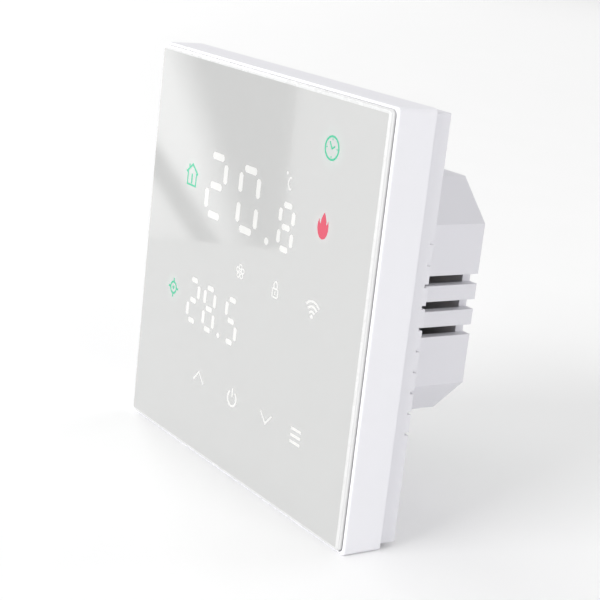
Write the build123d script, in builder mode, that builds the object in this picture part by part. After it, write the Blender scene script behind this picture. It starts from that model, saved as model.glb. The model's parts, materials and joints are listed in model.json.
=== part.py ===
from build123d import *
import os

# Wall thermostat in two halves: a flat display unit that pulls forward off a base,
# and a base whose octagonal box sinks into the wall and carries the mains parts.
# Millimetres. X runs right and Z up as seen from the front, Y runs into the wall.
# The origin is on the wall plane, midway between the two wall screws.

os.makedirs("parts", exist_ok=True)

# ---- depths along Y, from the glass back to the rear of the box -----------------
Y_GLASS = -13.7            # front face of the glass
Y_RIM = -12.7              # front rim of the housing, the glass stands proud of it
Y_SHELF = -11.5            # floor of the recess that the glass lies in
Y_WEB = -10.0              # back of the housing's front web
Y_BOARD = -7.4             # front of the display board
Y_BOARD_BACK = -6.2
Y_TRAY_FLOOR = -3.0        # inside of the inner cover's tray
Y_TRAY_BACK = -1.8
Y_SPLIT = -4.0             # where the display unit meets the base
Y_FLANGE_FLOOR = -1.5
Y_WALL = 0.0               # the base's flange rests here on the wall
Y_COVER = -1.4             # front and back of the cover over the power board
Y_COVER_BACK = -0.2
Y_POWER = 7.4              # front of the power board
Y_POWER_BACK = 9.0
Y_BOX_INNER = 24.5
Y_BOX = 26.5               # rear of the box

# ---- outlines in X and Z ---------------------------------------------------------
HOUSING = 86.0
HOUSING_CORNER = 0.8
HOUSING_EDGE_R = 0.45
HOUSING_WALL = 1.8
HOUSING_INNER_CORNER = 1.0
GLASS_X, GLASS_Z = 84.6, 84.7
GLASS_THICK = 2.0
GLASS_CORNER = 1.0
GLASS_EDGE_R = 0.8         # the front edges of the pane are rounded over
GLASS_RISE = 0.05          # the pane lies this much above the middle of its recess
RECESS = 85.0
RECESS_CORNER = 1.2
TAPE_INSET = 0.4
TAPE_WIDTH = 3.6
TAPE_CORNER = 0.6
TAPE_THICK = 0.2
FLANGE = 84.2
FLANGE_CORNER = 0.3
FLANGE_INNER_CORNER = 0.5
FLANGE_WALL = 1.8
BOARD = 78.0
BOARD_CORNER = 2.0
BOX_X, BOX_Z = 51.0, 50.4
BOX_WALL = 2.0
BOX_CHAMFER = 8.2
FIT_GAP = 0.2              # clearance of a board or cover inside the box
CUT_SPARE = 0.1            # a cut runs this much past the body it goes through

# ---- wall screws, vents, catches and plate on the casing --------------------------
WALL_SCREW_PITCH = 60.0
WALL_SLOT = (6.4, 4.2)
BOX_SLOT_PITCH, BOX_SLOT_HEIGHT, BOX_SLOT_DEPTH, BOX_SLOT_START = 5.4, 2.1, 2.3, 5.0
NOTCH_COUNT, NOTCH_PITCH, NOTCH_HEIGHT, NOTCH_DEPTH, NOTCH_MID_Z = 10, 4.18, 0.7, 0.9, -0.9
TONGUE_X, TONGUE_Z, TONGUE_FRONT, TONGUE_WIDTH, TONGUE_THICK = 20.0, 40.0, -7.5, 10.0, 0.8
TONGUE_ROOT_Z, TONGUE_ROOT_FRONT, TONGUE_ROOT_BACK, TONGUE_ROOT_THICK = 40.6, -6.5, -2.5, 0.5
RIDGE_Y, RIDGE_Z, RIDGE_R, RIDGE_WIDTH = -6.6, 40.85, 0.25, 9.0
PRY_WIDTH, PRY_DEPTH, PRY_HEIGHT = 6.0, 1.0, 2.6
PLATE_Z, PLATE_WIDTH, PLATE_HEIGHT, PLATE_CORNER, PLATE_DEPTH = 6.0, 34.0, 24.0, 1.5, 0.3

# ---- display layout, as seen from the front ---------------------------------------
DIGITS = [                # x, z, height, width, stroke
    (-14.4, 16.6, 14.0, 8.3, 1.5), (-1.5, 16.4, 14.0, 8.3, 1.5), (13.1, 14.2, 10.0, 5.8, 1.2),
    (-19.3, -9.6, 10.1, 5.2, 1.1), (-12.5, -9.7, 10.1, 5.2, 1.1), (-3.4, -9.7, 10.1, 5.2, 1.1),
]
BAR_GAP = 0.5             # left between the ends of two bars of a digit
ICON_WELLS = [            # x, z, radius
    (25.5, 32.4, 2.7), (-24.6, 16.9, 3.0), (25.5, 17.4, 3.0), (25.15, 0.95, 2.8), (-1.7, 1.4, 2.2),
    (11.8, 1.3, 2.2), (-28.2, -9.1, 2.0), (12.8, 23.3, 1.9), (6.7, 9.9, 0.8), (-7.9, -14.1, 0.7),
]
WELL_FLOOR = 0.5          # the wells are cut this much past the mask's front
KEYS_X = [-14.0, 0.05, 13.3, 24.35]
KEYS_Z = -25.3
KEY_WELL_R = 4.6
WINDOW_X, WINDOW_Z, WINDOW_WIDTH, WINDOW_HEIGHT = -0.8, 9.6, 60.6, 54.0
MASK_GAP = 0.2
FILM_INSET, FILM_THICK, FILM_LIFT, FILM_CORNER = 0.5, 0.15, 0.02, 1.0
DIGIT_LED = (1.4, 0.7)
ICON_LED = (0.9, 0.5)
KEY_LED = (0.7, 1.4)
KEY_LED_OFFSET = 3.6
LED_THICK = 0.5
SPRING_R, SPRING_WIRE, SPRING_TURNS = 2.4, 0.25, 3

# ---- parts on the display board -----------------------------------------------------
SCREW_GRID = 72.0         # spacing of the inner cover's screws
BOSS_R, BOSS_PILOT_R, BOSS_PILOT_DEPTH = 3.2, 0.95, 3.0
BOARD_HOLE_R = 1.2
CHIP_X, CHIP_Z, CHIP_SIDE, CHIP_THICK, CHIP_LIFT, CHIP_BEVEL = -9.0, 12.0, 10.0, 1.5, 0.1, 0.3
LEG_OFFSET, LEG_PITCH, LEG_COUNT, LEG_LENGTH, LEG_WIDTH, LEG_THICK = 5.4, 0.8, 11, 1.2, 0.35, 0.2
RADIO_X, RADIO_Z, RADIO_WIDTH, RADIO_HEIGHT, RADIO_THICK = 12.0, 12.0, 16.0, 24.0, 0.8
SHIELD_Z, SHIELD_WIDTH, SHIELD_HEIGHT, SHIELD_THICK, SHIELD_CORNER = 9.5, 13.6, 15.6, 2.2, 0.6
BEAD_X, BEAD_Z, BEAD_R, BEAD_STANDOFF, LEAD_SIDE, LEAD_SPREAD = 36.0, -14.0, 1.1, 1.4, 0.35, 0.5
COVER_RIM = 1.2           # thickness of the inner cover's flat rim
TRAY_X, TRAY_Z, TRAY_WALL, TRAY_CORNER = 50.0, 64.0, 1.2, 2.0
GRILLE_X, GRILLE_Z, GRILLE_COLUMNS, GRILLE_ROWS, GRILLE_SLOT = 6.0, 3.0, 5, 4, (4.6, 1.2)
COVER_SCREW_R, COVER_SCREW_LENGTH, COVER_HEAD_R, COVER_HEAD_THICK = 0.9, 4.8, 1.9, 0.8
CROSS_DEPTH = 0.5
COVER_CROSS = (2.2, 0.5)

# ---- board-to-board connector --------------------------------------------------------
PINS_X, PINS_Z, PIN_PITCH, PIN_SIDE = 6, 2, 2.54, 0.64
PIN_HOLE_R, PIN_REACH, PIN_STUB = 0.5, 5.8, 0.5
LINK_Z = -19.6
LINK_GAP = 0.7
HEADER_BACK = -3.7
SOCKET_FRONT = -1.1
SOCKET_BORE_R, CONTACT_R, CONTACT_BORE_R, CONTACT_DROP = 0.9, 0.85, 0.55, 0.6

# ---- posts, cover and screws in the box -----------------------------------------------
POST_X, POST_Z, POST_R, LEG_R = 20.4, 11.0, 3.2, 2.8
PILOT_R, PILOT_DEPTH = 1.2, 7.5
LEG_BORE_R, LEG_SINK_R = 1.35, 2.3
POWER_SCREW_R, POWER_SCREW_TIP, POWER_HEAD_R, POWER_HEAD_THICK = 1.15, 14.0, 2.1, 1.0
POWER_CROSS = (2.4, 0.6)
POWER_HOLE_R = 1.4
MOUTH_GAP, MOUTH_DROP, MOUTH_SPARE = 0.4, 2.0, 0.6

# ---- parts on the power board: x and z of the middle, then size ------------------------
RELAY_X, RELAY_Z, RELAY_WIDTH, RELAY_HEIGHT, RELAY_BACK = -13.0, -0.2, 19.0, 15.0, 24.3
RELAY_CORNER, RELAY_EDGE = 0.8, 0.5
CORE_X, CORE_Z, CORE_WIDTH, CORE_HEIGHT, CORE_BACK, CORE_DEPTH = 8.0, -0.8, 4.6, 13.4, 22.0, 12.0
CORE_WINDOW_OFFSET, CORE_WINDOW_Z, CORE_WINDOW_DEPTH = 4.0, 2.6, 8.0
BOBBIN_WIDTH, BOBBIN_HEIGHT, BOBBIN_RIM, BOBBIN_FRONT, BOBBIN_BACK = 13.0, 10.2, 0.7, 12.4, 19.6
BOBBIN_FOOT_HEIGHT, BOBBIN_FOOT_THICK, BOBBIN_LEG, BOBBIN_LEG_HEIGHT = 12.0, 1.0, 1.0, 8.0
TUBE_WIDTH, TUBE_HEIGHT, TUBE_BORE, TUBE_BORE_HEIGHT = 6.2, 5.1, 4.8, 13.5
COIL_WIDTH, COIL_HEIGHT, COIL_CORNER, COIL_BACK, COIL_DEPTH, COIL_BORE = 11.6, 10.2, 2.0, 19.2, 6.4, 6.3
CANS_X, CANS_Z, CAN_R, CAN_BACK, CAN_EDGE = (-11.0, -2.0), 13.6, 4.0, 22.0, 0.4
FILM_CAP_X, FILM_CAP_Z, FILM_CAP_WIDTH, FILM_CAP_HEIGHT, FILM_CAP_BACK = 10.5, 12.4, 12.6, 5.6, 20.5
FILM_CAP_BEVEL = 0.4
DISC_X, DISC_Y, DISC_Z, DISC_R, DISC_THICK, DISC_EDGE = 7.0, 15.2, 18.4, 4.6, 3.4, 0.8
DISC_LEAD_SPREAD, DISC_LEAD_TOP, LEAD = 2.5, 12.5, 0.6
RESISTOR_X, RESISTOR_LOW, RESISTOR_LENGTH, RESISTOR_R, RESISTOR_EDGE = 19.6, -7.0, 11.0, 1.9, 0.6
RESISTOR_RISE, RESISTOR_LEAD_SPREAD, RESISTOR_LEAD_LENGTH = 2.4, 5.9, 12.4
BRIDGE_X, BRIDGE_Z, BRIDGE_WIDTH, BRIDGE_THICK = -11.0, 6.0, 8.4, 3.2
DRIVER_X, DRIVER_Z, DRIVER_WIDTH, DRIVER_THICK = 8.0, 6.0, 9.4, 3.3
PACKAGE_HEIGHT, PACKAGE_BEVEL = 6.4, 0.3

# ---- terminals -------------------------------------------------------------------------
TERMINALS, TERMINAL_PITCH, TERMINAL_Z = 6, 5.08, -17.8
BLOCK_X, BLOCK_Z, BLOCK_BACK, BLOCK_GAP = 31.3, 10.4, 26.1, 0.2
CELL_X = 4.3
CELL_FLOOR, CELL_TOP = 10.0, 21.2
CELL_LOW_Z, CELL_HIGH_Z = -21.7, -13.4
CAGE_X, CAGE_Z, CAGE_LOW, CAGE_FLOOR, CAGE_NUT, CAGE_TOP = 4.0, 6.0, 10.3, 11.3, 15.7, 17.9
CAGE_WALL = 0.4
CLAMP_Z = TERMINAL_Z - 0.6
BAR_Y, BAR_THICK, BAR_X, BAR_LOW, BAR_HIGH = 14.8, 0.8, 3.0, -21.4, -13.5
PIN_X, PIN_THICK, PIN_FRONT, PIN_Z = 1.0, 0.8, 6.4, -13.9
PIN_SLOT = (1.4, 1.2)
PIN_WAY = (1.3, 1.0)
WIRE_WINDOW, WIRE_WINDOW_SPARE = 4.2, 0.8
WIRE_MOUTH, WIRE_MOUTH_SPARE, WIRE_MOUTH_DEPTH = 3.8, 0.4, 4.0
SCREW_HEAD_R, SCREW_HEAD_Y, SCREW_HEAD_BACK, SCREW_TIP = 1.9, 22.45, 24.6, 16.0
SCREW_TIP_BEVEL, SCREW_SLOT, SCREW_SLOT_DEPTH = 0.2, 0.6, 0.8
TERMINAL_SCREW_R, SHANK_BORE_R, CLAMP_BORE_R = 1.25, 1.4, 1.3
HEAD_BORE_R, HEAD_BORE_FRONT, HEAD_BORE_BACK, DRIVER_BORE_R = 2.05, 22.4, 24.9, 1.7


def facing(y):
    """Plane at depth y seen from the front: local x is +X, local y is +Z, normal is -Y."""
    return Plane.XZ.offset(-y)


def terminal_x(i):
    return (i - (TERMINALS - 1) / 2) * TERMINAL_PITCH


TERMINALS_X = [terminal_x(i) for i in range(TERMINALS)]


def finish(part, name):
    part.part.label = name
    export_step(part.part, f"parts/{name}.step")


def octagon(inset):
    """Corners of the box's outline, moved in by inset: a rectangle with cut corners."""
    x = BOX_X / 2 - inset
    z = BOX_Z / 2 - inset
    corner = BOX_CHAMFER - inset * (2 - 2 ** 0.5)
    return [
        (x - corner, z), (x, z - corner), (x, corner - z), (x - corner, -z),
        (corner - x, -z), (-x, corner - z), (-x, z - corner), (corner - x, z),
    ]


BOX_FIT = BOX_WALL + FIT_GAP     # inset of a board or cover that fits inside the box


def segments(x, z, height, width, stroke):
    """Centre, length, turn and stroke of the seven bars of one digit."""
    half = (height - stroke) / 2
    reach = (width - stroke) / 2
    bars = [(x, z + dz, 2 * reach, 0) for dz in (half, 0, -half)]
    bars += [(x + dx, z + dz, half, 90) for dx in (-reach, reach) for dz in (half / 2, -half / 2)]
    return [(bx, bz, length - BAR_GAP, turn, stroke) for bx, bz, length, turn in bars]


ALL_SEGMENTS = [bar for digit in DIGITS for bar in segments(*digit)]


def bar_outline(length, stroke):
    """A digit's bar: a long hexagon with pointed ends."""
    tip = length / 2
    flat = (length - stroke) / 2
    half = stroke / 2
    return [(-tip, 0), (-flat, half), (flat, half), (tip, 0), (flat, -half), (-flat, -half)]


# =================================== display unit =================================

with BuildPart() as front_glass:
    with BuildSketch(facing(Y_GLASS + GLASS_THICK)):
        with Locations((0, GLASS_RISE)):
            RectangleRounded(GLASS_X, GLASS_Z, GLASS_CORNER)
    extrude(amount=GLASS_THICK)
    fillet(front_glass.faces().sort_by(Axis.Y)[0].edges(), GLASS_EDGE_R)

with BuildPart() as glass_adhesive:
    tape = GLASS_X - 2 * TAPE_INSET
    inner = tape - 2 * TAPE_WIDTH
    with BuildSketch(facing(Y_SHELF)):
        RectangleRounded(tape, tape, TAPE_CORNER)
        RectangleRounded(inner, inner, TAPE_CORNER, mode=Mode.SUBTRACT)
    extrude(amount=TAPE_THICK)

with BuildPart() as front_housing:
    with BuildSketch(facing(Y_SPLIT)):
        RectangleRounded(HOUSING, HOUSING, HOUSING_CORNER)
    extrude(amount=Y_SPLIT - Y_RIM)
    fillet(front_housing.faces().sort_by(Axis.Y)[0].edges(), HOUSING_EDGE_R)
    # room behind the front web
    hollow = HOUSING - 2 * HOUSING_WALL
    with BuildSketch(facing(Y_SPLIT)):
        RectangleRounded(hollow, hollow, HOUSING_INNER_CORNER)
    extrude(amount=Y_SPLIT - Y_WEB, mode=Mode.SUBTRACT)
    # shallow recess for the glass
    with BuildSketch(facing(Y_SHELF)):
        RectangleRounded(RECESS, RECESS, RECESS_CORNER)
    extrude(amount=Y_SHELF - Y_RIM, mode=Mode.SUBTRACT)
    # display window and one round well for each touch key
    with BuildSketch(facing(Y_WEB)):
        with Locations((WINDOW_X, WINDOW_Z)):
            Rectangle(WINDOW_WIDTH, WINDOW_HEIGHT)
        with Locations([(x, KEYS_Z) for x in KEYS_X]):
            Circle(KEY_WELL_R)
    extrude(amount=Y_WEB - Y_SHELF, mode=Mode.SUBTRACT)
    # screw bosses, drilled from behind
    with BuildSketch(facing(Y_BOARD)):
        with GridLocations(SCREW_GRID, SCREW_GRID, 2, 2):
            Circle(BOSS_R)
    extrude(amount=Y_BOARD - Y_WEB)
    with BuildSketch(facing(Y_BOARD)):
        with GridLocations(SCREW_GRID, SCREW_GRID, 2, 2):
            Circle(BOSS_PILOT_R)
    extrude(amount=BOSS_PILOT_DEPTH, mode=Mode.SUBTRACT)
    # two notches in the lower rear edge for a flat screwdriver
    with Locations([(x, Y_SPLIT - PRY_DEPTH / 2, -HOUSING / 2) for x in (-TONGUE_X, TONGUE_X)]):
        Box(PRY_WIDTH, PRY_DEPTH, PRY_HEIGHT, mode=Mode.SUBTRACT)

with BuildPart() as display_mask:
    with BuildSketch(facing(Y_BOARD)):
        with Locations((WINDOW_X, WINDOW_Z)):
            Rectangle(WINDOW_WIDTH - 2 * MASK_GAP, WINDOW_HEIGHT - 2 * MASK_GAP)
    extrude(amount=Y_BOARD - Y_SHELF)
    # light wells for the digits and the icons
    with BuildSketch(facing(Y_BOARD)):
        for x, z, length, turn, stroke in ALL_SEGMENTS:
            with Locations(Location((x, z), turn)):
                Polygon(bar_outline(length, stroke), align=None)
        for x, z, radius in ICON_WELLS:
            with Locations((x, z)):
                Circle(radius)
    extrude(amount=Y_BOARD - Y_SHELF + WELL_FLOOR, mode=Mode.SUBTRACT)

with BuildPart() as diffuser_film:
    with BuildSketch(facing(Y_SHELF - FILM_LIFT)):
        with Locations((WINDOW_X, WINDOW_Z)):
            film_width = WINDOW_WIDTH - 2 * FILM_INSET
            film_height = WINDOW_HEIGHT - 2 * FILM_INSET
            RectangleRounded(film_width, film_height, FILM_CORNER)
    extrude(amount=FILM_THICK)

with BuildPart() as display_board:
    with BuildSketch(facing(Y_BOARD_BACK)):
        RectangleRounded(BOARD, BOARD, BOARD_CORNER)
        with GridLocations(SCREW_GRID, SCREW_GRID, 2, 2):
            Circle(BOARD_HOLE_R, mode=Mode.SUBTRACT)
        with Locations((0, LINK_Z)):
            with GridLocations(PIN_PITCH, PIN_PITCH, PINS_X, PINS_Z):
                Circle(PIN_HOLE_R, mode=Mode.SUBTRACT)
    extrude(amount=Y_BOARD_BACK - Y_BOARD)

with BuildPart() as display_leds:
    with BuildSketch(facing(Y_BOARD)):
        with Locations([Location((bar[0], bar[1]), bar[3]) for bar in ALL_SEGMENTS]):
            Rectangle(*DIGIT_LED)
        with Locations([well[:2] for well in ICON_WELLS]):
            Rectangle(*ICON_LED)
        with Locations([(x + KEY_LED_OFFSET, KEYS_Z) for x in KEYS_X]):
            Rectangle(*KEY_LED)
    extrude(amount=LED_THICK)

# a coil under each key carries the touch signal from the board to the glass
with BuildPart() as touch_springs:
    coil_height = Y_BOARD - Y_SHELF - TAPE_THICK - 2 * SPRING_WIRE
    for key_x in KEYS_X:
        base = Plane(origin=(key_x, Y_BOARD - SPRING_WIRE, KEYS_Z), x_dir=(1, 0, 0), z_dir=(0, -1, 0))
        with BuildLine(base) as coil:
            Helix(coil_height / SPRING_TURNS, coil_height, SPRING_R, direction=(0, -1, 0))
        with BuildSketch(Plane(origin=coil.line @ 0, z_dir=coil.line % 0)):
            Circle(SPRING_WIRE)
        sweep(path=coil.line, is_frenet=True)

with BuildPart() as microcontroller:
    with BuildSketch(facing(Y_BOARD_BACK + CHIP_LIFT + CHIP_THICK)):
        with Locations((CHIP_X, CHIP_Z)):
            Rectangle(CHIP_SIDE, CHIP_SIDE)
    extrude(amount=CHIP_THICK)
    chamfer(microcontroller.faces().sort_by(Axis.Y)[-1].edges(), CHIP_BEVEL)
    # a row of legs along each side
    with BuildSketch(facing(Y_BOARD_BACK + LEG_THICK)):
        with Locations((CHIP_X, CHIP_Z)):
            for turn in (0, 90, 180, 270):
                with Locations(Location((0, 0), turn)):
                    with Locations((LEG_OFFSET, 0)):
                        with GridLocations(1, LEG_PITCH, 1, LEG_COUNT):
                            Rectangle(LEG_LENGTH, LEG_WIDTH)
    extrude(amount=LEG_THICK)

with BuildPart() as wifi_board:
    with BuildSketch(facing(Y_BOARD_BACK + RADIO_THICK)):
        with Locations((RADIO_X, RADIO_Z)):
            Rectangle(RADIO_WIDTH, RADIO_HEIGHT)
    extrude(amount=RADIO_THICK)

with BuildPart() as wifi_shield:
    with BuildSketch(facing(Y_BOARD_BACK + RADIO_THICK + SHIELD_THICK)):
        with Locations((RADIO_X, SHIELD_Z)):
            RectangleRounded(SHIELD_WIDTH, SHIELD_HEIGHT, SHIELD_CORNER)
    extrude(amount=SHIELD_THICK)

with BuildPart() as room_sensor:
    with Locations((BEAD_X, Y_BOARD - BEAD_STANDOFF, BEAD_Z)):
        Sphere(BEAD_R)
    leads_x = (BEAD_X - LEAD_SPREAD, BEAD_X + LEAD_SPREAD)
    with Locations([(x, Y_BOARD - BEAD_STANDOFF / 2, BEAD_Z) for x in leads_x]):
        Box(LEAD_SIDE, BEAD_STANDOFF, LEAD_SIDE)

with BuildPart() as header_body:
    with BuildSketch(facing(HEADER_BACK)):
        with Locations((0, LINK_Z)):
            Rectangle(PINS_X * PIN_PITCH, PINS_Z * PIN_PITCH)
            with GridLocations(PIN_PITCH, PIN_PITCH, PINS_X, PINS_Z):
                Rectangle(PIN_SIDE, PIN_SIDE, mode=Mode.SUBTRACT)
    extrude(amount=HEADER_BACK - Y_BOARD_BACK)

with BuildPart() as header_pins:
    with BuildSketch(facing(HEADER_BACK + PIN_REACH)):
        with Locations((0, LINK_Z)):
            with GridLocations(PIN_PITCH, PIN_PITCH, PINS_X, PINS_Z):
                Rectangle(PIN_SIDE, PIN_SIDE)
    extrude(amount=HEADER_BACK + PIN_REACH - Y_BOARD + PIN_STUB)

# a flat rim clamps the board, and a tray in the middle gives its parts room
with BuildPart() as inner_cover:
    with BuildSketch(facing(Y_BOARD_BACK + COVER_RIM)):
        RectangleRounded(BOARD, BOARD, BOARD_CORNER)
    extrude(amount=COVER_RIM)
    with BuildSketch(facing(Y_TRAY_BACK)):
        RectangleRounded(TRAY_X, TRAY_Z, TRAY_CORNER)
    extrude(amount=Y_TRAY_BACK - Y_BOARD_BACK)
    with BuildSketch(facing(Y_TRAY_FLOOR)):
        RectangleRounded(TRAY_X - 2 * TRAY_WALL, TRAY_Z - 2 * TRAY_WALL, TRAY_CORNER - TRAY_WALL)
    extrude(amount=Y_TRAY_FLOOR - Y_BOARD_BACK, mode=Mode.SUBTRACT)
    # an opening for the connector, and a grille of slits that lets warm air out
    with BuildSketch(facing(Y_TRAY_BACK)):
        with Locations((0, LINK_Z)):
            Rectangle(PINS_X * PIN_PITCH + 2 * LINK_GAP, PINS_Z * PIN_PITCH + 2 * LINK_GAP)
        with GridLocations(GRILLE_X, GRILLE_Z, GRILLE_COLUMNS, GRILLE_ROWS):
            SlotOverall(*GRILLE_SLOT)
    extrude(amount=Y_TRAY_BACK - Y_TRAY_FLOOR, mode=Mode.SUBTRACT)
    with BuildSketch(facing(Y_BOARD_BACK + COVER_RIM)):
        with GridLocations(SCREW_GRID, SCREW_GRID, 2, 2):
            Circle(BOARD_HOLE_R)
    extrude(amount=COVER_RIM, mode=Mode.SUBTRACT)

with BuildPart() as inner_cover_screws:
    with BuildSketch(facing(Y_BOARD_BACK + COVER_RIM)):
        with GridLocations(SCREW_GRID, SCREW_GRID, 2, 2):
            Circle(COVER_SCREW_R)
    extrude(amount=COVER_SCREW_LENGTH)
    head_back = facing(Y_BOARD_BACK + COVER_RIM + COVER_HEAD_THICK)
    with BuildSketch(head_back):
        with GridLocations(SCREW_GRID, SCREW_GRID, 2, 2):
            Circle(COVER_HEAD_R)
    extrude(amount=COVER_HEAD_THICK)
    with BuildSketch(head_back):
        with GridLocations(SCREW_GRID, SCREW_GRID, 2, 2):
            Rectangle(*COVER_CROSS)
            Rectangle(*reversed(COVER_CROSS))
    extrude(amount=CROSS_DEPTH, mode=Mode.SUBTRACT)

# ======================================= base =====================================

with BuildPart() as rear_casing:
    # flange behind the display unit, open at the front
    with BuildSketch(facing(Y_WALL)):
        RectangleRounded(FLANGE, FLANGE, FLANGE_CORNER)
    extrude(amount=Y_WALL - Y_SPLIT)
    with BuildSketch(facing(Y_FLANGE_FLOOR)):
        RectangleRounded(FLANGE - 2 * FLANGE_WALL, FLANGE - 2 * FLANGE_WALL, FLANGE_INNER_CORNER)
    extrude(amount=Y_FLANGE_FLOOR - Y_SPLIT, mode=Mode.SUBTRACT)
    # octagonal box
    with BuildSketch(facing(Y_BOX)):
        Polygon(octagon(0), align=None)
    extrude(amount=Y_BOX - Y_WALL)
    with BuildSketch(facing(Y_BOX_INNER)):
        Polygon(octagon(BOX_WALL), align=None)
    extrude(amount=Y_BOX_INNER - Y_FLANGE_FLOOR, mode=Mode.SUBTRACT)
    # slots through the side walls that turn the rear corners
    slot_length = Y_BOX - BOX_SLOT_START
    slot_y = BOX_SLOT_START + slot_length / 2
    slot_x = (BOX_X - BOX_SLOT_DEPTH) / 2
    with Locations([(x, slot_y, row * BOX_SLOT_PITCH) for x in (-slot_x, slot_x) for row in (-1, 0, 1)]):
        Box(BOX_SLOT_DEPTH, slot_length, BOX_SLOT_HEIGHT, mode=Mode.SUBTRACT)
    # a row of small notches along each side of the flange's rear edge
    notch_x = (FLANGE - FLANGE_WALL) / 2
    notch_y = Y_WALL - NOTCH_DEPTH / 2
    first_z = NOTCH_MID_Z - (NOTCH_COUNT - 1) / 2 * NOTCH_PITCH
    notches_z = [first_z + i * NOTCH_PITCH for i in range(NOTCH_COUNT)]
    with Locations([(x, notch_y, z) for x in (-notch_x, notch_x) for z in notches_z]):
        Box(FLANGE_WALL, NOTCH_DEPTH, NOTCH_HEIGHT, mode=Mode.SUBTRACT)
    # slots for the two wall screws
    with BuildSketch(facing(Y_WALL)):
        with GridLocations(WALL_SCREW_PITCH, 1, 2, 1):
            SlotOverall(*WALL_SLOT)
    extrude(amount=Y_WALL - Y_FLANGE_FLOOR, mode=Mode.SUBTRACT)
    # window in the rear wall for the terminal block, and one in the lower wall for each wire
    with BuildSketch(facing(Y_BOX)):
        with Locations((0, TERMINAL_Z)):
            Rectangle(BLOCK_X + 2 * BLOCK_GAP, BLOCK_Z + 2 * BLOCK_GAP)
    extrude(amount=BOX_WALL, mode=Mode.SUBTRACT)
    wire_y = (CAGE_FLOOR + BAR_Y) / 2
    with Locations([(x, wire_y, (BOX_WALL - BOX_Z) / 2) for x in TERMINALS_X]):
        Box(WIRE_WINDOW, BAR_Y - CAGE_FLOOR + WIRE_WINDOW_SPARE, BOX_WALL, mode=Mode.SUBTRACT)
    # posts that hold the power board
    with BuildSketch(facing(Y_BOX_INNER)):
        with GridLocations(2 * POST_X, 2 * POST_Z, 2, 2):
            Circle(POST_R)
    extrude(amount=Y_BOX_INNER - Y_POWER_BACK)
    with BuildSketch(facing(Y_POWER_BACK + PILOT_DEPTH)):
        with GridLocations(2 * POST_X, 2 * POST_Z, 2, 2):
            Circle(PILOT_R)
    extrude(amount=PILOT_DEPTH, mode=Mode.SUBTRACT)
    # shallow field on the rear wall for a rating plate
    with BuildSketch(facing(Y_BOX)):
        with Locations((0, PLATE_Z)):
            RectangleRounded(PLATE_WIDTH, PLATE_HEIGHT, PLATE_CORNER)
    extrude(amount=PLATE_DEPTH, mode=Mode.SUBTRACT)
    # tongues that reach into the housing, each with a thicker root and a low ridge
    corners = [(x, side) for x in (-TONGUE_X, TONGUE_X) for side in (-1, 1)]
    with Locations([(x, (TONGUE_FRONT + Y_FLANGE_FLOOR) / 2, side * TONGUE_Z) for x, side in corners]):
        Box(TONGUE_WIDTH, Y_FLANGE_FLOOR - TONGUE_FRONT, TONGUE_THICK)
    root_y = (TONGUE_ROOT_FRONT + TONGUE_ROOT_BACK) / 2
    with Locations([(x, root_y, side * TONGUE_ROOT_Z) for x, side in corners]):
        Box(TONGUE_WIDTH, TONGUE_ROOT_BACK - TONGUE_ROOT_FRONT, TONGUE_ROOT_THICK)
    with Locations([(x, RIDGE_Y, side * RIDGE_Z) for x, side in corners]):
        Cylinder(RIDGE_R, RIDGE_WIDTH, rotation=(0, 90, 0))

with BuildPart() as power_cover:
    with BuildSketch(facing(Y_COVER_BACK)):
        Polygon(octagon(BOX_FIT), align=None)
    extrude(amount=Y_COVER_BACK - Y_COVER)
    # hollow legs that press the power board onto its posts
    with BuildSketch(facing(Y_POWER)):
        with GridLocations(2 * POST_X, 2 * POST_Z, 2, 2):
            Circle(LEG_R)
    extrude(amount=Y_POWER - Y_COVER_BACK)
    with BuildSketch(facing(Y_POWER)):
        with GridLocations(2 * POST_X, 2 * POST_Z, 2, 2):
            Circle(LEG_BORE_R)
    extrude(amount=Y_POWER - Y_COVER, mode=Mode.SUBTRACT)
    with BuildSketch(facing(Y_COVER_BACK)):
        with GridLocations(2 * POST_X, 2 * POST_Z, 2, 2):
            Circle(LEG_SINK_R)
    extrude(amount=Y_COVER_BACK - Y_COVER, mode=Mode.SUBTRACT)
    # mouth for the socket, open at the lower edge
    with BuildSketch(facing(Y_COVER_BACK)):
        with Locations((0, LINK_Z - MOUTH_DROP)):
            mouth_height = PINS_Z * PIN_PITCH + 2 * MOUTH_DROP + MOUTH_SPARE
            Rectangle(PINS_X * PIN_PITCH + 2 * MOUTH_GAP, mouth_height)
    extrude(amount=Y_COVER_BACK - Y_COVER, mode=Mode.SUBTRACT)

with BuildPart() as power_cover_screws:
    with BuildSketch(facing(Y_COVER_BACK)):
        with GridLocations(2 * POST_X, 2 * POST_Z, 2, 2):
            Circle(POWER_HEAD_R)
    extrude(amount=POWER_HEAD_THICK)
    with BuildSketch(facing(POWER_SCREW_TIP)):
        with GridLocations(2 * POST_X, 2 * POST_Z, 2, 2):
            Circle(POWER_SCREW_R)
    extrude(amount=POWER_SCREW_TIP - Y_COVER_BACK)
    with BuildSketch(facing(Y_COVER_BACK - CROSS_DEPTH)):
        with GridLocations(2 * POST_X, 2 * POST_Z, 2, 2):
            Rectangle(*POWER_CROSS)
            Rectangle(*reversed(POWER_CROSS))
    extrude(amount=CROSS_DEPTH, mode=Mode.SUBTRACT)

with BuildPart() as power_board:
    with BuildSketch(facing(Y_POWER_BACK)):
        Polygon(octagon(BOX_FIT), align=None)
        with GridLocations(2 * POST_X, 2 * POST_Z, 2, 2):
            Circle(POWER_HOLE_R, mode=Mode.SUBTRACT)
        with Locations([(x, PIN_Z) for x in TERMINALS_X]):
            Rectangle(*PIN_SLOT, mode=Mode.SUBTRACT)
    extrude(amount=Y_POWER_BACK - Y_POWER)

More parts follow.
